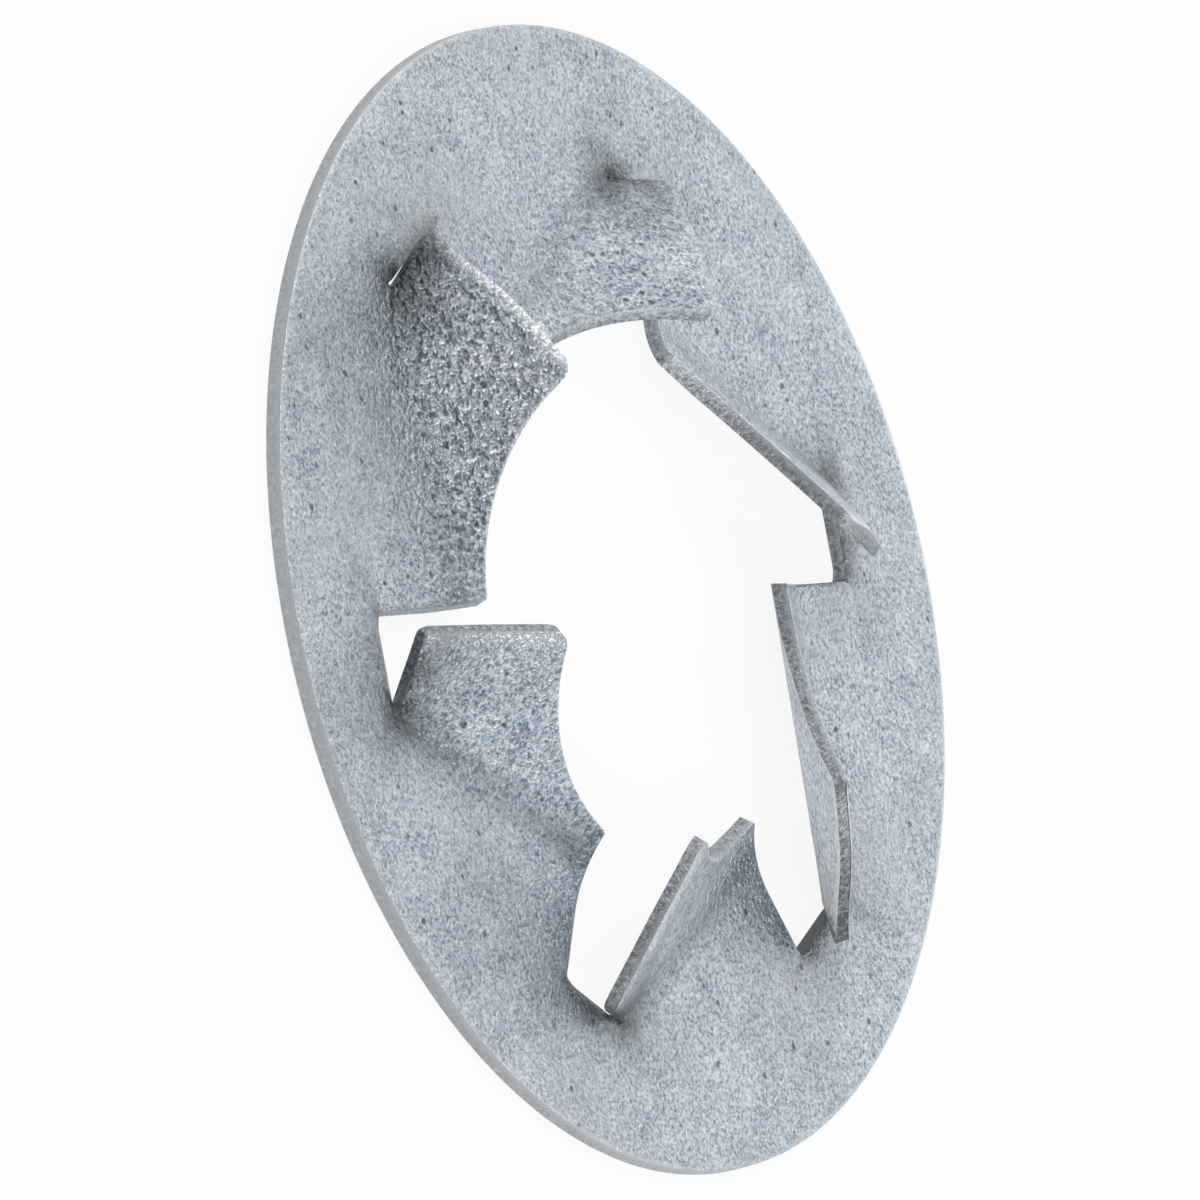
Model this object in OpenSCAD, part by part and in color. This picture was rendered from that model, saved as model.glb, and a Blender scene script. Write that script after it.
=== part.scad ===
// Push-on nut: a thin spring steel disc with six lanced tines folded up round the stud hole.
// Millimetres, +Z up. Origin on the hole axis, in the plane of the flat underside of the rim.
// Each tine is worked out in a frame whose +X runs along the cut on its low side.

/* [Blank] */
// Outside diameter of the flat rim
outer_d = 19; // [17:0.5:22]
// Thickness of the sheet
sheet = 0.27; // [0.2:0.01:0.34]
// Number of tines round the hole
tines = 6; // [6:1:7]

/* [Lance cuts] */
// Diameter of the circle to which the cuts reach into the rim
lance_d = 14.1; // [14:0.1:15]
// Angle of the root cut that frees the high corner of a tine
root_cut = 14.5; // [12:0.5:18]
// Width of the slit between the high side of a tine and the next tine
slit = 0.15; // [0.06:0.01:0.24]
// Radius in the inner corner of each cut
slot_round = 0.1; // [0.06:0.02:0.2]
// Width of the relief notch where the root cut meets the fold
relief = 0.08; // [0.04:0.01:0.12]

/* [Folded tines] */
// Stud circle touched by the lower edges of the tine tips
grip_d = 8.7; // [8.2:0.1:8.9]
// Angle through which a tine is folded up from the rim
fold_angle = 44; // [35:1:52]
// Inside radius of the fold
fold_r = 0.6; // [0.3:0.05:0.8]
// Radius on the high corner of a tine tip, three times that on the low corner
tip_round = 0.36; // [0.2:0.02:0.44]

/* [Hidden] */
$fn = 120;
zinc = [0.66, 0.69, 0.72];
// small overlap that keeps rounds from only grazing the lines they meet
graze = 0.0005;
pitch = 360 / tines;
lance_r = lance_d / 2;
// end of the root cut: the fold line of a tine runs from here along Y
fold_x = lance_r * cos(pitch - root_cut);
fold_y = -lance_r * sin(pitch - root_cut);
// upward normal of the raised blade, in the plane square to the fold
lean = [sin(fold_angle), cos(fold_angle)];
// axis of the bend, seen along the fold
bend_side = fold_r - graze;
bend_c = [fold_x + bend_side * tan(fold_angle / 2), sheet + bend_side];
// directions along the two side cuts of a tine, and square to them into the tine
high_cut = [cos(pitch), -sin(pitch)];
high_in = [sin(pitch), cos(pitch)];
low_cut = [1, 0];
low_in = [0, -1];
// upper edge of the tips: the blade leans, so it lies outside the gripping lower edge
tip_r = grip_d / 2 + sheet * sin(fold_angle);
tip_low = [unfolded(tip_r), 0];
tip_mid = [unfolded(tip_r * cos(pitch / 2)), -tip_r * sin(pitch / 2)];
tip_high = high_tip_x() * [1, -tan(pitch)];
tip_c = centre_through(tip_low, tip_mid, tip_high);
tip_arc_r = norm(tip_low - tip_c);
// radius at which the flat foot of a tine ends inside the rim
foot_r = (lance_r + outer_d / 2) / 2;

// x of a point of the raised blade once it is laid flat about the fold line
function unfolded(x) = fold_x + (x - fold_x) / cos(fold_angle);

// x at which the cut on the high side, laid flat, meets the ring of tip edges
function high_tip_x() =
    let (c = cos(fold_angle), k = fold_x * (1 - c), a = pow(c, 2) + pow(tan(pitch), 2))
    (-c * k + sqrt(pow(c * k, 2) - a * (pow(k, 2) - pow(tip_r, 2)))) / a;

// centre of the circle through three points
function centre_through(p, q, s) =
    let (u = q - p, v = s - p, d = 2 * (u.x * v.y - u.y * v.x))
    p + [v.y * (u * u) - u.y * (v * v), u.x * (v * v) - v.x * (u * u)] / d;

// centre of a round of radius r between the tip edge and a side that lies gap inside its cut
function tip_round_c(along, into, gap, r) =
    let (side = r - graze, off = gap + side - tip_c * into)
    (tip_c * along + sqrt(pow(tip_arc_r + side, 2) - pow(off, 2))) * along + (gap + side) * into;

function unit(v) = v / norm(v);

// what a round of radius r about c takes off a corner whose sides it touches in directions u and v
module corner(c, u, v, r) {
    difference() {
        polygon([c, c + 2 * r * u, c + 2 * r * (u + v), c + 2 * r * v]);
        translate(c) circle(r);
    }
}

// corner between the root cut and a side that lies gap inside the cut on the high side
module root_corner(gap) {
    side = slot_round - graze;
    c = sqrt(pow(lance_r - side, 2) - pow(gap + side, 2)) * high_cut + (gap + side) * high_in;
    corner(c, -high_in, unit(c), slot_round);
}

// section square to the fold of all that lies above a face of the sheet, depth below its upper face
module above(depth, reach) {
    tip = [fold_x - depth * tan(fold_angle / 2), sheet - depth];
    along = [-lean.y, lean.x];
    difference() {
        polygon([tip, tip + [reach, 0], tip + [reach, reach], tip + reach * along]);
        corner(bend_c, [0, -1], -lean, fold_r + depth);
    }
}

// sheet bent up along the fold, ended square at the cut on the low side
module bent_sheet() {
    rotate([90, 0, 0])
        linear_extrude(1.2 * lance_r)
            difference() {
                above(sheet, outer_d / 2);
                above(0, outer_d);
            }
}

// flat outline of what is sheared away round a tine: tip, slit on the high side, root cut and corners
module waste_plan() {
    high_c = tip_round_c(high_cut, high_in, slit, tip_round);
    low_c = tip_round_c(low_cut, low_in, 0, tip_round / 3);
    translate(tip_c) circle(tip_arc_r);
    corner(high_c, -high_in, unit(tip_c - high_c), tip_round);
    corner(low_c, -low_in, unit(tip_c - low_c), tip_round / 3);
    translate(slit * high_in)
        polygon(outer_d * [-high_cut, high_cut, high_cut - high_in, -high_cut - high_in]);
    root_corner(slit);
    difference() {
        translate([0, fold_y - outer_d]) square(outer_d);
        circle(lance_r);
    }
}

// one tine with its bend and the flat foot that runs into the rim
module tine() {
    difference() {
        intersection() {
            bent_sheet();
            translate([0, 0, -sheet]) cylinder(r = foot_r, h = outer_d);
        }
        translate([fold_x, 0, sheet])
            rotate([0, fold_angle, 0])
                translate([-fold_x, 0, -outer_d / 2])
                    linear_extrude(outer_d) waste_plan();
    }
}

module rim() {
    linear_extrude(sheet)
        difference() {
            circle(outer_d / 2);
            difference() {
                circle(lance_r);
                for (i = [0 : tines - 1]) rotate(i * pitch) root_corner(0);
            }
            for (i = [0 : tines - 1])
                rotate(i * pitch)
                    translate([0, fold_y - relief]) square([bend_c.x + relief / 2, relief - fold_y]);
        }
}

module push_on_nut() {
    color(zinc) {
        rim();
        for (i = [0 : tines - 1]) rotate(i * pitch) tine();
    }
}

push_on_nut();
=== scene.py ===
import math

import bmesh
import bpy
from mathutils import Matrix, Vector


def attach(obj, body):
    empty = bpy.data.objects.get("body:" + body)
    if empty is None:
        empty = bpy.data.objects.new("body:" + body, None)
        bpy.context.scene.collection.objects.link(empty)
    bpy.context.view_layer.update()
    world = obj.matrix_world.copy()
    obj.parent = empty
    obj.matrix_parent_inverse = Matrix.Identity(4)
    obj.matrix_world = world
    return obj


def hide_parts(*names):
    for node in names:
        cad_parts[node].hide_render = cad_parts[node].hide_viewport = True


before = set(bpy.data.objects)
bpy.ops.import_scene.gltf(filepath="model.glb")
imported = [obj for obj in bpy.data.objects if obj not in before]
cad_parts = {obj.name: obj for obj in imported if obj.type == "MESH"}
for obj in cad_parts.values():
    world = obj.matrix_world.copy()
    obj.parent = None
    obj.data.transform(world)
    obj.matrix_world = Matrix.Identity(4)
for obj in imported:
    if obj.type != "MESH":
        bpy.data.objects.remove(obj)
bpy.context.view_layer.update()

MM = 0.001

# Sizes of the stamped disc in millimetres and degrees. They are those of the CAD source, but the rim ends
# a hair inside it, and the root cut is straight instead of round, so it has an angle of its own
OUTER_R = 9.494
SHEET = 0.27
TINES = 6
LANCE_R = 7.05
ROOT_CUT = 13.0
SLIT = 0.15
SLOT_ROUND = 0.1
GRIP_R = 4.35
FOLD = 44.0
TIP_ROUND = 0.36
LOW_TIP_ROUND = TIP_ROUND / 3
# Round on the free root corner of a tine
ROOT_ROUND = 0.18
# The round in a slot's inner corner runs out over this much of the cut
SLOT_RUN_OUT = 3 * SLOT_ROUND

# A tine lies clockwise of +X: its low cut runs along +X, its high cut at -PITCH
PITCH = 360 / TINES
HIGH_CUT = Vector((math.cos(math.radians(PITCH)), -math.sin(math.radians(PITCH))))
INTO_TINE = Vector((math.sin(math.radians(PITCH)), math.cos(math.radians(PITCH))))
# The root cut runs square to the high cut, and the fold starts at its end
ROOT_END = math.radians(PITCH - ROOT_CUT)
ROOT_LONG = LANCE_R * math.tan(math.radians(ROOT_CUT))
FOLD_START = math.hypot(LANCE_R, ROOT_LONG) * Vector((math.cos(ROOT_END), -math.sin(ROOT_END)))

# Density of the flat sheet's mesh, and how far its rows crowd towards the cuts, from 0 to 1
COLUMNS = 120
TINE_ROWS = 30
RIM_ROWS = 20
CROWDING = 0.62
# Points or rays closer than this count as the same, in millimetres and radians
SAME_PLACE = 0.001
SAME_RAY = 0.0001
# Points of neighbouring sectors closer than this are welded
WELD = 0.002
# A point this share of a pitch past a sector's border still belongs to it
SECTOR_BORDER = 0.001

# The fold is made in small steps and spreads over this angle, as a cone
FOLD_STEPS = 14
FOLD_SPREAD = 20.0
# The metal counts as worked from this far outside the fold line, and fully so past this width
BEND_FROM = 0.8
BEND_WIDE = 1.2

# Die roll: the cut edges are drawn down on the punch side
ROLL_WIDE = 0.34
ROLL_DEEP = 0.09
ROLL_CURVE = 2.2
# The tip and the low side are rolled this many times narrower, and start this far up the roll
LIGHT_ROLL_NARROW = 2
LIGHT_ROLL = 0.12
RIM_ROLL_WIDE = 0.12
RIM_ROLL_DEEP = 0.02
RIM_ROLL_CURVE = 2
# Edges sharper than this angle are broken by a small bevel
EDGE_BREAK = 0.016
EDGE_SHARP = 38
# Faces that meet below this angle are shaded as one
SMOOTH_BELOW = 50

# How far the free root corner of each tine has sprung back, in millimetres along the tine's own axes
SPRING_BACK = (
    (0.28, -0.1, -0.26), (0.02, 0.02, 0.04), (0.26, -0.1, -0.27),
    (-0.05, -0.045, -0.16), (-0.05, -0.045, -0.16), (0.2, -0.08, -0.28))
SPRING_REACH = 1.7

# How rough each tine came out of the plating, the dirt and painted crease shade in its bend, the stain and
# painted shade on its walls, and how far its edges are rubbed and painted with a highlight
TINE_FINISH_AND_LIGHT = (
    (1.5, 0.6, 0.5, 0.85), (0.65, 1.2, 0.6, 0.4), (0.5, 0.9, 0.1, 0.75),
    (0.6, 0.8, 2.2, 0.6), (0.6, 0.5, 0.5, 0.6), (0.65, 0.6, 0.5, 0.2))
# The part of the bend, from the flat rim to the raised blade, where dirt lodges and painted crease shade lies
# most
DIRT_AND_SHADE_AT = 0.65
DIRT_AND_SHADE_WIDE = 0.35
# Rubbing and its painted highlight start this far from a cut edge and are full this close to it
RUB_AND_SHEEN_FROM = 0.3
RUB_AND_SHEEN_FULL = 0.08
# How far stain and painted shade reach along the walls from a root cut
STAIN_AND_SHADE_REACH = 4.0
# Share of a root cut, next to the high cut, that draws no grime and no painted shade to the tine or to the
# rim
UNMARKED_ON_TINE = 0.5
UNMARKED_ON_RIM = 0.1
# The outer edge is worn by handling and painted lighter as a highlight on its rounded edge, over the width of
# its roll
RIM_RUBBED_AND_SHEEN = 0.6

# Sizes of the patterns in millimetres. The grain of matt zinc and the tears of a sheared wall are finer,
# about 0.01 to 0.03 mm, and are drawn coarser to show
GRAIN = 0.062
TEAR = 0.08
PIMPLE = 0.12
CLOUD = 0.8
PATCH = 2.6
PIT_CELL = 0.34
BLOT_CELL = 1.9
# Height of the bumps in millimetres
PLATING_BUMP = 0.1
TEAR_BUMP = 0.045

# Sockets of Blender's Mix node when it mixes colours
MIX_SHARE, MIX_UNDER, MIX_OVER, MIX_RESULT = 0, 6, 7, 2

# The floor lies a hair under the rim, so that the two faces don't share a plane
FLOOR_GAP = 0.02
# Its width in metres, and the share of its white that is glow
FLOOR_SIZE = 4
FLOOR_GLOW = 0.9

# Direction from the disc, distance and width in metres, and power in watts of each lamp
SOFTBOXES = {
    "overhead_softbox": ((0.05, -0.55, 0.83), 0.4, 0.06, 0.22),
    "back_softbox": ((-0.9, -0.05, 0.42), 0.16, 0.1, 0.041),
    "left_softbox": ((-0.22, 0.86, 0.46), 0.4, 0.24, 0.58),
    "right_softbox": ((-0.4, -0.83, 0.38), 0.4, 0.24, 0.36),
}

# The camera's own axes, its distance and aim in millimetres, and its lens, fitted to the photograph's outline
CAMERA_RIGHT = (-0.5392, 0.1833, 0.8220)
CAMERA_BACK = (0.8412, 0.0702, 0.5362)
CAMERA_DISTANCE = 536.6
AIM_LEFT = 0.174
AIM_DOWN = 0.03
LENS = 991.8
SENSOR = 36


def held(value):
    """A value held between 0 and 1."""
    return min(max(value, 0), 1)


def eased(rows):
    """Shares from 0 to 1, closer together at both ends."""
    full = 2 * math.pi
    return [i / rows - CROWDING * math.sin(full * i / rows) / full for i in range(rows + 1)]


def tip_radius():
    """Where the tip edge crosses each ray of the blank: an arc that closes to the grip circle once folded."""
    fold, pitch = math.radians(FOLD), math.radians(PITCH)
    ring = GRIP_R + SHEET * math.sin(fold)

    def laid_flat(x):
        return FOLD_START.x + (x - FOLD_START.x) / math.cos(fold)

    # The high cut, laid flat, meets the ring of folded tips at this x
    shift = FOLD_START.x * (1 - math.cos(fold))
    a = math.cos(fold) ** 2 + math.tan(pitch) ** 2
    b = math.cos(fold) * shift
    high_x = (math.sqrt(b ** 2 - a * (shift ** 2 - ring ** 2)) - b) / a
    low = Vector((laid_flat(ring), 0))
    middle = Vector((laid_flat(ring * math.cos(pitch / 2)), -ring * math.sin(pitch / 2)))
    high = Vector((high_x, -high_x * math.tan(pitch)))
    # Circle through the three points
    u, v = middle - low, high - low
    double = 2 * (u.x * v.y - u.y * v.x)
    centre = low + Vector((v.y * u.dot(u) - u.y * v.dot(v), u.x * v.dot(v) - v.x * u.dot(u))) / double
    reach = (low - centre).length

    def at(turn):
        ray = Vector((math.cos(turn), math.sin(turn)))
        along = centre.dot(ray)
        r = along + math.sqrt(along ** 2 - centre.dot(centre) + reach ** 2)
        for side, corner in ((abs(turn), LOW_TIP_ROUND), (pitch - abs(turn), TIP_ROUND)):
            off = corner - r * math.sin(side)
            if off > 0:
                r += corner - math.sqrt(max(corner ** 2 - off ** 2, 0))
        return r

    return at


def edit(piece):
    """Makes the piece active and enters edit mode."""
    bpy.context.view_layer.objects.active = piece
    piece.select_set(True)
    bpy.ops.object.mode_set(mode="EDIT")


def choose(piece, wanted):
    """Selects the vertices of the piece in edit mode whose index is wanted."""
    bpy.ops.mesh.select_mode(type="VERT")
    bpy.ops.mesh.select_all(action="DESELECT")
    mesh = bmesh.from_edit_mesh(piece.data)
    mesh.verts.ensure_lookup_table()
    for i in wanted:
        mesh.verts[i].select_set(True)
    mesh.select_flush_mode()
    bmesh.update_edit_mesh(piece.data)


def on_root_cut(v):
    """Whether a point of the flat sector lies where the root cut parts tine and rim."""
    on_line = abs(v.co.xy.length / MM - LANCE_R) < SAME_PLACE
    return on_line and abs(math.atan2(v.co.y, v.co.x)) > ROOT_END - SAME_RAY


def flat_sector():
    """One tine with its piece of rim, flat: a radial line spun round the axis, slit at the root cut."""
    bpy.ops.object.select_all(action="DESELECT")
    bpy.ops.mesh.primitive_plane_add(size=MM, location=(0, 0, 0))
    piece = bpy.context.object
    piece.name = "stamped_disc"
    edit(piece)
    bpy.ops.mesh.select_all(action="SELECT")
    bpy.ops.mesh.merge(type="CENTER")
    bpy.ops.transform.translate(value=(GRIP_R * MM, 0, SHEET * MM))
    stops = [GRIP_R + u * (LANCE_R - GRIP_R) for u in eased(TINE_ROWS)]
    stops += [LANCE_R + u * (OUTER_R - LANCE_R) for u in eased(RIM_ROWS)][1:]
    for a, b in zip(stops, stops[1:]):
        bpy.ops.mesh.extrude_region_move(TRANSFORM_OT_translate={"value": ((b - a) * MM, 0, 0)})
    bpy.ops.mesh.select_all(action="SELECT")
    bpy.ops.mesh.spin(steps=COLUMNS, angle=math.radians(PITCH), center=(0, 0, 0), axis=(0, 0, 1))
    bpy.ops.mesh.select_mode(type="EDGE")
    bpy.ops.mesh.select_all(action="DESELECT")
    mesh = bmesh.from_edit_mesh(piece.data)
    for e in mesh.edges:
        e.select_set(all(on_root_cut(v) for v in e.verts))
    bmesh.update_edit_mesh(piece.data)
    bpy.ops.mesh.edge_split(type="EDGE")
    bpy.ops.object.mode_set(mode="OBJECT")
    return piece


def from_cuts(turn):
    """Angles of a ray of the sector from its high cut and from its low cut."""
    return max(math.radians(PITCH) + turn, 0), max(-turn, 0)


def lance_line(high_side):
    """Radius of the lance line: straight along the root cut, then eased back to the lance circle."""
    cut = math.radians(ROOT_CUT)
    if high_side < cut:
        return LANCE_R / math.cos(high_side)
    back = (high_side - cut) / (math.radians(PITCH) - cut)
    return LANCE_R + (LANCE_R / math.cos(cut) - LANCE_R) * (1 - back) ** 2 * (1 + 2 * back)


def rounded_lance(high_side, low_side):
    """Radius of the lance line with the round in the inner corner of each slot."""
    near = min(high_side, low_side) * LANCE_R
    return lance_line(high_side) - SLOT_ROUND * max(1 - near / SLOT_RUN_OUT, 0) ** 2


def tine_point(r, turn, tip_r):
    """A point of the tine on its true outline: radius, share of the slit, gap to the nearest rolled edge."""
    high_side, low_side = from_cuts(turn)
    line = lance_line(high_side)
    root = rounded_lance(high_side, low_side)
    if high_side < low_side:
        off = max(ROOT_ROUND - high_side * LANCE_R, 0)
        root = line - ROOT_ROUND + math.sqrt(ROOT_ROUND ** 2 - off ** 2)
    share = (r - GRIP_R) / (LANCE_R - GRIP_R)
    r = tip_r + share * (root - tip_r)
    across = low_side / math.radians(PITCH)
    joined = 1 - ROOT_CUT / PITCH
    slit = (1 - share) * across ** 3 + share * max((across - joined) / (1 - joined), 0)
    gaps = [r * math.sin(high_side) + SLIT * (slit - 1)]
    gaps += [LIGHT_ROLL + LIGHT_ROLL_NARROW * gap for gap in (r - tip_r, r * math.sin(low_side))]
    if low_side > ROOT_END:
        gaps.append(line - r)
    return r, slit, min(gaps)


def rim_point(r, turn):
    """The same for a point of the rim, which is rolled only along the root cut."""
    high_side, low_side = from_cuts(turn)
    root = rounded_lance(high_side, low_side)
    share = (r - LANCE_R) / (OUTER_R - LANCE_R)
    r = root + share * (OUTER_R - root)
    if low_side > ROOT_END - SAME_RAY:
        return r, 0, r - root
    return r, 0, math.hypot(r * math.cos(turn) - FOLD_START.x, r * math.sin(turn) - FOLD_START.y)


def slot_distance(r, high_side, unmarked):
    """Distance in millimetres from a point of the blank to a root cut past its unmarked share."""
    along, across = r * math.cos(high_side), r * math.sin(high_side)
    return math.hypot(along - LANCE_R, across - min(max(across, unmarked * ROOT_LONG), ROOT_LONG))


def trim_outline(piece):
    """Draws the flat sector out to its true tip and cuts, and notes where each point lies on the blank."""
    tip = tip_radius()
    mesh = piece.data
    on_tine = {i for f in mesh.polygons if f.center.xy.length / MM < LANCE_R for i in f.vertices}
    names = ("edge_gap", "slot_gap", "worked")
    for name in names:
        mesh.attributes.new(name, "FLOAT", "POINT")
    notes = {name: mesh.attributes[name].data for name in names}
    for i, v in enumerate(mesh.vertices):
        turn = math.atan2(v.co.y, v.co.x)
        r = v.co.xy.length / MM
        worked = 0
        unmarked = UNMARKED_ON_RIM
        if i in on_tine:
            r, slit, gap = tine_point(r, turn, tip(turn))
            unmarked = UNMARKED_ON_TINE
        else:
            r, slit, gap = rim_point(r, turn)
        v.co.xy = (Vector((r * math.cos(turn), r * math.sin(turn))) + INTO_TINE * SLIT * slit) * MM
        if i in on_tine:
            worked = held((FOLD_START.x + BEND_FROM - v.co.x / MM) / BEND_WIDE)
        high_side, low_side = from_cuts(turn)
        notes["edge_gap"][i].value = gap
        notes["worked"][i].value = worked
        notes["slot_gap"][i].value = min(slot_distance(r, side, unmarked) for side in (high_side, -low_side))
    return sorted(on_tine)


def fold_up(piece, tine):
    """Folds the tine up as a cone: small turns about rays from the root cut's end, furthest ray first."""
    edit(piece)
    corner = Vector((FOLD_START.x, FOLD_START.y, SHEET)) * MM
    flat = {i: piece.data.vertices[i].co.copy() for i in tine}
    swing = {i: math.atan2(corner.x - p.x, p.y - corner.y) for i, p in flat.items()}
    free = [i for i in tine if (flat[i] - corner).length > SAME_PLACE * MM]
    step_turn = math.radians(FOLD) / FOLD_STEPS
    for step in reversed(range(FOLD_STEPS)):
        ray = math.radians(FOLD_SPREAD) * ((step + 0.5) / FOLD_STEPS - 0.5)
        choose(piece, [i for i in free if swing[i] > ray])
        # With no window the operator turns the other way
        for about, turn in (("Z", -ray), ("Y", step_turn), ("Z", ray)):
            bpy.ops.transform.rotate(value=-turn, orient_axis=about, center_override=corner)
    bpy.ops.object.mode_set(mode="OBJECT")


def ring_of_sectors(piece):
    """Copies the sector round the axis and welds the copies along the rim."""
    edit(piece)
    bpy.ops.mesh.select_mode(type="VERT")
    bpy.ops.mesh.select_all(action="SELECT")
    for _ in range(TINES - 1):
        bpy.ops.mesh.duplicate()
        bpy.ops.transform.rotate(value=math.radians(PITCH), orient_axis="Z", center_override=(0, 0, 0))
    bpy.ops.mesh.select_all(action="SELECT")
    bpy.ops.mesh.remove_doubles(threshold=WELD * MM)
    bpy.ops.object.mode_set(mode="OBJECT")
    if sum(f.normal.z for f in piece.data.polygons) < 0:
        piece.data.flip_normals()


def root_corner():
    """Place of the free root corner of the first tine once it is folded up."""
    fold = math.radians(FOLD)
    flat = HIGH_CUT * LANCE_R + INTO_TINE * SLIT
    reach = FOLD_START.x - flat.x
    return Vector((FOLD_START.x - reach * math.cos(fold), flat.y, SHEET + reach * math.sin(fold))) * MM


def spring_back(piece):
    """Lets the free root corner of each tine spring back a little, drawing the metal round it along."""
    edit(piece)
    for i, move in enumerate(SPRING_BACK):
        place = Matrix.Rotation(math.radians(PITCH * i), 3, "Z")
        corner = place @ root_corner()
        choose(piece, [min(piece.data.vertices, key=lambda v: (v.co - corner).length).index])
        bpy.ops.transform.translate(
            value=place @ Vector(move) * MM, use_proportional_edit=True, use_proportional_connected=True,
            proportional_edit_falloff="SMOOTH", proportional_size=SPRING_REACH * MM)
    bpy.ops.object.mode_set(mode="OBJECT")


def uneven_finish_and_light(piece):
    """Notes how rough each point is, its dirt and painted shade, and its rubbing and painted highlight, since
    no two tines came out alike.
    """
    mesh = piece.data
    for name in ("relief", "bend_dirt_and_shade", "wall_stain_and_shade", "rubbed_and_sheen", "worn_and_sheen"):
        mesh.attributes.new(name, "FLOAT", "POINT")
    notes = {name: layer.data for name, layer in mesh.attributes.items()}
    for i, v in enumerate(mesh.vertices):
        turn = math.degrees(math.atan2(v.co.y, v.co.x))
        r = v.co.xy.length / MM
        rough, dirt_and_shade, stain_and_shade, rubbed_and_sheen = TINE_FINISH_AND_LIGHT[math.ceil(turn / PITCH - SECTOR_BORDER) % TINES]
        worked, slot, edge = (notes[name][i].value for name in ("worked", "slot_gap", "edge_gap"))
        in_slot = r < (LANCE_R + OUTER_R) / 2
        rub_and_sheen = held((RUB_AND_SHEEN_FROM - edge) / (RUB_AND_SHEEN_FROM - RUB_AND_SHEEN_FULL))
        worn_and_sheen = RIM_RUBBED_AND_SHEEN * max(1 - (OUTER_R - r) / RIM_ROLL_WIDE, 0)
        notes["relief"][i].value = rough * worked
        notes["bend_dirt_and_shade"][i].value = dirt_and_shade * max(1 - abs(worked - DIRT_AND_SHADE_AT) / DIRT_AND_SHADE_WIDE, 0)
        notes["wall_stain_and_shade"][i].value = stain_and_shade * max(1 - slot / STAIN_AND_SHADE_REACH, 0) ** 2 if in_slot else 0
        notes["rubbed_and_sheen"][i].value = max(rubbed_and_sheen * rub_and_sheen * min(slot, 1), worn_and_sheen)
        notes["worn_and_sheen"][i].value = worn_and_sheen


def applied(piece, kind, **settings):
    """Adds one modifier with its settings and applies it."""
    modifier = piece.modifiers.new(kind.lower(), kind)
    for field, value in settings.items():
        setattr(modifier, field, value)
    bpy.context.view_layer.objects.active = piece
    bpy.ops.object.modifier_apply(modifier=modifier.name)


def thicken(piece):
    """Gives the sheet its thickness downwards, rolls its cut edges down and breaks every sharp edge."""
    upper = len(piece.data.vertices)
    applied(piece, "SOLIDIFY", thickness=SHEET * MM, offset=-1, use_even_offset=True, material_offset_rim=1)
    mesh = piece.data
    through = mesh.attributes.new("through", "FLOAT", "POINT")
    gap = mesh.attributes["edge_gap"].data
    for v in mesh.vertices:
        through.data[v.index].value = 0.0 if v.index < upper else 1.0
    normals = [mesh.vertices[i].normal.copy() for i in range(upper)]
    for i, normal in enumerate(normals):
        point = mesh.vertices[i]
        rim_gap = OUTER_R - point.co.xy.length / MM
        drawn = ROLL_DEEP * max(1 - gap[i].value / ROLL_WIDE, 0) ** ROLL_CURVE
        drawn += RIM_ROLL_DEEP * max(1 - rim_gap / RIM_ROLL_WIDE, 0) ** RIM_ROLL_CURVE
        point.co -= normal * (drawn * MM)
    applied(
        piece, "BEVEL", width=EDGE_BREAK * MM, segments=2, limit_method="ANGLE",
        angle_limit=math.radians(EDGE_SHARP))
    # The rim lies flat, so nothing goes below its underside
    for v in piece.data.vertices:
        v.co.z = max(v.co.z, 0)


def linear(code):
    """An sRGB hex colour as linear red, green, blue and alpha."""
    parts = [int(code[i:i + 2], 16) / 255 for i in (1, 3, 5)]
    return [p / 12.92 if p <= 0.04045 else ((p + 0.055) / 1.055) ** 2.4 for p in parts] + [1.0]


def put(tree, kind, sockets=None, stops=(), **settings):
    """Adds one node with its settings and a ramp's colour stops.

    Its sockets, by name or number, get a value, a link, or a link to another node's first output.
    """
    node = tree.nodes.new(kind)
    for field, value in settings.items():
        setattr(node, field, value)
    for i, (at, colour) in enumerate(stops):
        if i >= len(node.color_ramp.elements):
            node.color_ramp.elements.new(at)
        node.color_ramp.elements[i].position = at
        node.color_ramp.elements[i].color = linear(colour)
    for socket, value in (sockets or {}).items():
        if isinstance(value, bpy.types.Node):
            value = value.outputs[0]
        if isinstance(value, bpy.types.NodeSocket):
            tree.links.new(value, node.inputs[socket])
        else:
            node.inputs[socket].default_value = value
    return node


def per_mm(size):
    """Texture scale of a pattern whose features are size millimetres wide."""
    return 1 / (size * MM)


def bare_material(name):
    """A new material and its empty node tree."""
    made = bpy.data.materials.new(name)
    made.use_nodes = True
    made.node_tree.nodes.clear()
    return made, made.node_tree


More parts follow.
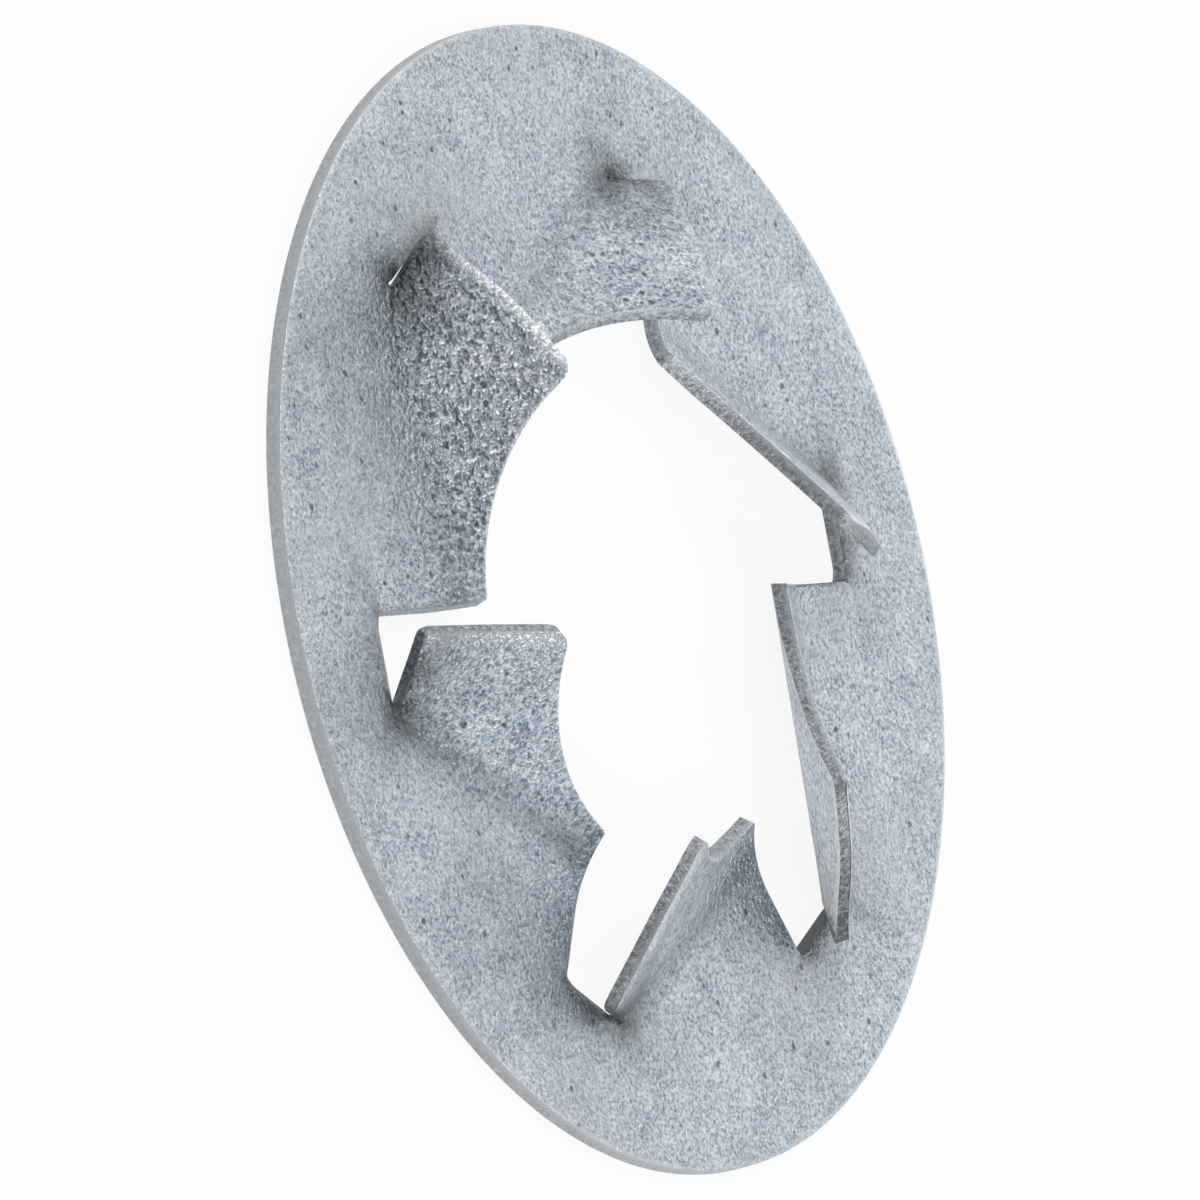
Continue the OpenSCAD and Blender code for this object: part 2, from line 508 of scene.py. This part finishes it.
def zinc_plated_steel():
    """Matt zinc plating on spring steel: frosted, sparkling grain, cloudy blue grey, pits and smudges, with
    painted shade at the root cuts and bends and painted highlights on the rolled edges.
    """
    made, tree = bare_material("matt_zinc_plating")
    place = put(tree, "ShaderNodeTexCoord").outputs["Object"]
    # Frosted grain of the deposit, pimples of the blasted steel under it, clouds and wide patches of tone
    grain, pimple, cloud, patch = (
        put(tree, "ShaderNodeTexNoise", {
            "Vector": place, "Scale": per_mm(size), "Detail": detail, "Roughness": roughness})
        for size, detail, roughness in (
            (GRAIN, 2.0, 0.65), (PIMPLE, 1.0, 0.5), (CLOUD, 2.0, 0.55), (PATCH, 1.0, 0.5)))
    relief, rubbed_and_sheen, slot, bend_dirt_and_shade = (
        put(tree, "ShaderNodeAttribute", attribute_name=note).outputs["Fac"]
        for note in ("relief", "rubbed_and_sheen", "slot_gap", "bend_dirt_and_shade"))

    # Folding roughens the metal to an orange peel, so the pimples stand out more on the tines than on the rim
    on_tine, on_rim = 1.1, 0.4
    stand = put(tree, "ShaderNodeMath", {0: relief, 1: on_tine, 2: on_rim}, operation="MULTIPLY_ADD")
    # The rolled edges are burnished by the punch, which levels them, and are painted light as a highlight
    # along the roll
    rough_left = put(tree, "ShaderNodeMath", {0: 1.0, 1: rubbed_and_sheen}, operation="SUBTRACT")
    noise_middle = 0.48
    centred = put(tree, "ShaderNodeMath", {0: pimple, 1: noise_middle}, operation="SUBTRACT")
    raised = put(tree, "ShaderNodeMath", {0: centred, 1: stand}, operation="MULTIPLY")
    pimples = put(tree, "ShaderNodeMath", {0: raised, 1: rough_left}, operation="MULTIPLY")
    grain_lost, grain_kept = 0.35, 0.12
    fine = put(tree, "ShaderNodeMath", {
        0: rough_left, 1: grain_lost, 2: grain_kept}, operation="MULTIPLY_ADD")
    height = put(tree, "ShaderNodeMath", {0: grain, 1: fine, 2: pimples}, operation="MULTIPLY_ADD")

    # Tone follows the grain and the clouds; hollows between the pimples are painted darker and their tops
    # lighter, as painted relief shade and partly a duller plating in the hollows
    cloud_tone, cloud_middle, pimple_shade_tone = 0.24, -0.12, 0.52
    clouded = put(tree, "ShaderNodeMath", {
        0: cloud, 1: cloud_tone, 2: cloud_middle}, operation="MULTIPLY_ADD")
    grained = put(tree, "ShaderNodeMath", {0: grain, 1: clouded}, operation="ADD")
    tone = put(tree, "ShaderNodeMath", {0: pimples, 1: pimple_shade_tone, 2: grained}, operation="MULTIPLY_ADD")
    body = put(tree, "ShaderNodeValToRGB", {0: tone}, [
        (0.27, "#76838f"), (0.5, "#b8c4cf"), (0.7, "#dfe5ea")]).outputs[0]

    # Warmer, duller patches a few millimetres wide, where the passivate lies thicker
    warm = put(tree, "ShaderNodeMapRange", {"Value": patch, "From Min": 0.48, "From Max": 0.7, "To Max": 0.3})
    # Ragged pits of up to 0.1 mm, some 0.5 mm apart, and a few blots of up to 0.3 mm
    least, ragged = -0.1, 0.12
    pits = []
    for cell_size, spread in ((PIT_CELL, 0.32), (BLOT_CELL, 0.2)):
        cell = put(tree, "ShaderNodeTexVoronoi", {"Vector": place, "Scale": per_mm(cell_size)})
        draw = put(tree, "ShaderNodeSeparateColor", {0: cell.outputs["Color"]})
        width = put(tree, "ShaderNodeMath", {0: draw, 1: spread, 2: least}, operation="MULTIPLY_ADD")
        away = put(tree, "ShaderNodeMath", {
            0: grain, 1: ragged, 2: cell.outputs["Distance"]}, operation="MULTIPLY_ADD")
        inside = put(tree, "ShaderNodeMath", {0: width, 1: away}, operation="SUBTRACT")
        pits.append(put(tree, "ShaderNodeMapRange", {
            "Value": inside, "From Min": -0.07, "From Max": 0.03, "To Max": 0.8}))

    # Dull film and brown grey grime drawn towards the root cuts, where a wet part dries last; the darkening
    # is also painted shade and a painted contact shadow round the root cuts
    cloud_drift = 0.9
    near = put(tree, "ShaderNodeMath", {0: cloud, 1: cloud_drift, 2: slot}, operation="MULTIPLY_ADD")
    film_and_shade = put(tree, "ShaderNodeMapRange", {
        "Value": near, "From Min": 0.45, "From Max": 2.15, "To Min": 0.44, "To Max": 0.0},
        interpolation_type="SMOOTHSTEP")
    # The dull film and its painted shade are stronger on the roughened metal of the tines
    on_rough, on_flat = 0.9, 0.75
    takes = put(tree, "ShaderNodeMath", {0: relief, 1: on_rough, 2: on_flat}, operation="MULTIPLY_ADD")
    dull_and_shade = put(tree, "ShaderNodeMath", {0: film_and_shade, 1: takes}, operation="MULTIPLY", use_clamp=True)
    drawn = put(tree, "ShaderNodeMapRange", {
        "Value": near, "From Min": 0.3, "From Max": 1.2, "To Min": 0.85, "To Max": 0.0},
        interpolation_type="SMOOTHSTEP")
    # Darker brown grey close to the root cuts: grime speckled over a painted contact shadow
    grime_and_shadow_depth = 1.6
    speckled = put(tree, "ShaderNodeMath", {0: drawn, 1: pimple}, operation="MULTIPLY")
    grime_and_shadow = put(tree, "ShaderNodeMath", {0: speckled, 1: grime_and_shadow_depth}, operation="MULTIPLY", use_clamp=True)
    # Patchy dirt lodged along the bends, which is also painted shade in the fold creases
    patchy = put(tree, "ShaderNodeMapRange", {
        "Value": cloud, "From Min": 0.3, "From Max": 0.6, "To Min": 0.3})
    strewn = put(tree, "ShaderNodeMath", {0: bend_dirt_and_shade, 1: patchy}, operation="MULTIPLY")
    lodged_dirt_and_shade = put(tree, "ShaderNodeMath", {0: strewn, 1: grain}, operation="MULTIPLY", use_clamp=True)

    # Each cover lies over the one before
    # The light rubbed colour is partly a painted highlight on the rolled edges; the dull film, the brown grey
    # grime and the bend dirt are partly painted shade
    for cover, colour in (
        (warm, "#b6b7b6"), (pits[0], "#48525c"), (pits[1], "#78838c"), (rubbed_and_sheen, "#e3e7ea"),
        (dull_and_shade, "#74797e"), (grime_and_shadow, "#5b5855"), (lodged_dirt_and_shade, "#5f6469"),
    ):
        covered = put(tree, "ShaderNodeMix", {
            MIX_SHARE: cover, MIX_UNDER: body, MIX_OVER: linear(colour)}, data_type="RGBA")
        body = covered.outputs[MIX_RESULT]
    bump = put(tree, "ShaderNodeBump", {"Strength": 1.0, "Distance": PLATING_BUMP * MM, "Height": height})
    shade = put(tree, "ShaderNodeBsdfPrincipled", {
        "Base Color": body, "Metallic": 1.0, "Roughness": 0.4, "Normal": bump})
    put(tree, "ShaderNodeOutputMaterial", {"Surface": shade})
    return made


def sheared_steel():
    """Plated wall of a punched cut: a smooth burnished band below the roll, then a darker, torn zone, with
    stain and painted shade near the root cuts and a painted highlight on the outer edge.
    """
    made, tree = bare_material("sheared_zinc_plated_edge")
    place = put(tree, "ShaderNodeTexCoord").outputs["Object"]
    through, worn_and_sheen, wall_stain_and_shade = (
        put(tree, "ShaderNodeAttribute", attribute_name=note).outputs["Fac"]
        for note in ("through", "worn_and_sheen", "wall_stain_and_shade"))
    tear = put(tree, "ShaderNodeTexNoise", {
        "Vector": place, "Scale": per_mm(TEAR), "Detail": 2.0, "Roughness": 0.7})
    body = put(tree, "ShaderNodeValToRGB", {0: tear}, [
        (0.3, "#737a80"), (0.5, "#a0a6ab"), (0.7, "#c6cbcf")]).outputs[0]
    # The border of the burnished band is ragged
    ragged = 0.5
    depth = put(tree, "ShaderNodeMath", {0: tear, 1: ragged, 2: through}, operation="MULTIPLY_ADD")
    burnished = put(tree, "ShaderNodeMapRange", {
        "Value": depth, "From Min": 0.3, "From Max": 0.7, "To Min": 0.8, "To Max": 0.0})
    # Grime dried on the walls of the slots, caught in the tears, over painted shade deep in the slots
    caught = put(tree, "ShaderNodeMapRange", {
        "Value": tear, "From Min": 0.35, "From Max": 0.6, "To Min": 1.0, "To Max": 0.5})
    stain_and_shade = put(tree, "ShaderNodeMath", {0: wall_stain_and_shade, 1: caught}, operation="MULTIPLY", use_clamp=True)
    # The lighter outer edge is wear and a painted highlight on its rounded edge
    for cover, colour in ((burnished, "#bfc6cc"), (worn_and_sheen, "#b7bcc1"), (stain_and_shade, "#5f6368")):
        covered = put(tree, "ShaderNodeMix", {
            MIX_SHARE: cover, MIX_UNDER: body, MIX_OVER: linear(colour)}, data_type="RGBA")
        body = covered.outputs[MIX_RESULT]
    # The outer edge is worn smoother
    rough_left = put(tree, "ShaderNodeMath", {0: 1.0, 1: worn_and_sheen}, operation="SUBTRACT")
    bump = put(tree, "ShaderNodeBump", {"Strength": rough_left, "Distance": TEAR_BUMP * MM, "Height": tear})
    shade = put(tree, "ShaderNodeBsdfPrincipled", {
        "Base Color": body, "Metallic": 1.0, "Roughness": 0.5, "Normal": bump})
    put(tree, "ShaderNodeOutputMaterial", {"Surface": shade})
    return made


def white_floor():
    """White card that keeps the disc's shadow, and glows where it is seen or mirrored, to stay white."""
    bpy.ops.object.select_all(action="DESELECT")
    bpy.ops.mesh.primitive_plane_add(size=FLOOR_SIZE, location=(0, 0, -FLOOR_GAP * MM))
    floor = bpy.context.object
    floor.name = "floor"
    made, tree = bare_material("white_card")
    path = put(tree, "ShaderNodeLightPath").outputs
    looked_at = put(tree, "ShaderNodeMath", {
        0: path["Is Camera Ray"], 1: path["Is Glossy Ray"]}, operation="ADD")
    seen = put(tree, "ShaderNodeMath", {
        0: looked_at, 1: path["Is Transmission Ray"]}, operation="ADD", use_clamp=True)
    glowing = put(tree, "ShaderNodeMath", {0: seen, 1: FLOOR_GLOW}, operation="MULTIPLY")
    card = put(tree, "ShaderNodeBsdfDiffuse", {"Color": linear("#f8f8f8")})
    glow = put(tree, "ShaderNodeEmission", {"Strength": 1.0})
    both = put(tree, "ShaderNodeMixShader", {0: glowing, 1: card, 2: glow})
    put(tree, "ShaderNodeOutputMaterial", {"Surface": both})
    floor.data.materials.append(made)


def studio_light():
    """Even white surroundings, white to the camera and half as strong on the disc, and four soft lamps."""
    world = bpy.data.worlds.new("studio")
    bpy.context.scene.world = world
    world.use_nodes = True
    tree = world.node_tree
    tree.nodes.clear()
    path = put(tree, "ShaderNodeLightPath").outputs
    strength = put(tree, "ShaderNodeMapRange", {"Value": path["Is Camera Ray"], "To Min": 0.5, "To Max": 1.0})
    air = put(tree, "ShaderNodeBackground", {"Color": linear("#ffffff"), "Strength": strength})
    put(tree, "ShaderNodeOutputWorld", {"Surface": air})
    for name, (towards, distance, size, watts) in SOFTBOXES.items():
        bpy.ops.object.light_add(type="AREA", location=Vector(towards).normalized() * distance)
        lamp = bpy.context.object
        lamp.name = name
        lamp.data.shape = "DISK"
        lamp.data.size = size
        lamp.data.energy = watts
        lamp.visible_camera = False
        lamp.rotation_mode = "QUATERNION"
        lamp.rotation_quaternion = Vector(towards).to_track_quat("Z", "Y")


def photo_camera():
    """Long lens at the photograph's angle: 32 degrees above the rim, rolled until the far rim lies right."""
    right, back = Vector(CAMERA_RIGHT), Vector(CAMERA_BACK)
    right = (right - back * right.dot(back)).normalized()
    up = back.cross(right)
    bpy.ops.object.camera_add()
    camera = bpy.context.object
    camera.data.lens = LENS
    camera.data.sensor_width = SENSOR
    aim = (Vector((0, 0, SHEET / 2)) - right * AIM_LEFT - up * AIM_DOWN) * MM
    camera.matrix_world = Matrix((right, up, back)).transposed().to_4x4()
    camera.location = aim + back * CAMERA_DISTANCE * MM
    bpy.context.scene.camera = camera


disc = flat_sector()
tine = trim_outline(disc)
fold_up(disc, tine)
ring_of_sectors(disc)
spring_back(disc)
uneven_finish_and_light(disc)
disc.data.materials.append(zinc_plated_steel())
disc.data.materials.append(sheared_steel())
thicken(disc)
bpy.ops.object.select_all(action="DESELECT")
disc.select_set(True)
bpy.context.view_layer.objects.active = disc
bpy.ops.object.shade_smooth_by_angle(angle=math.radians(SMOOTH_BELOW))
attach(disc, "root")
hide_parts("push_on_nut")

white_floor()
studio_light()
photo_camera()
bpy.context.scene.view_settings.view_transform = "Standard"
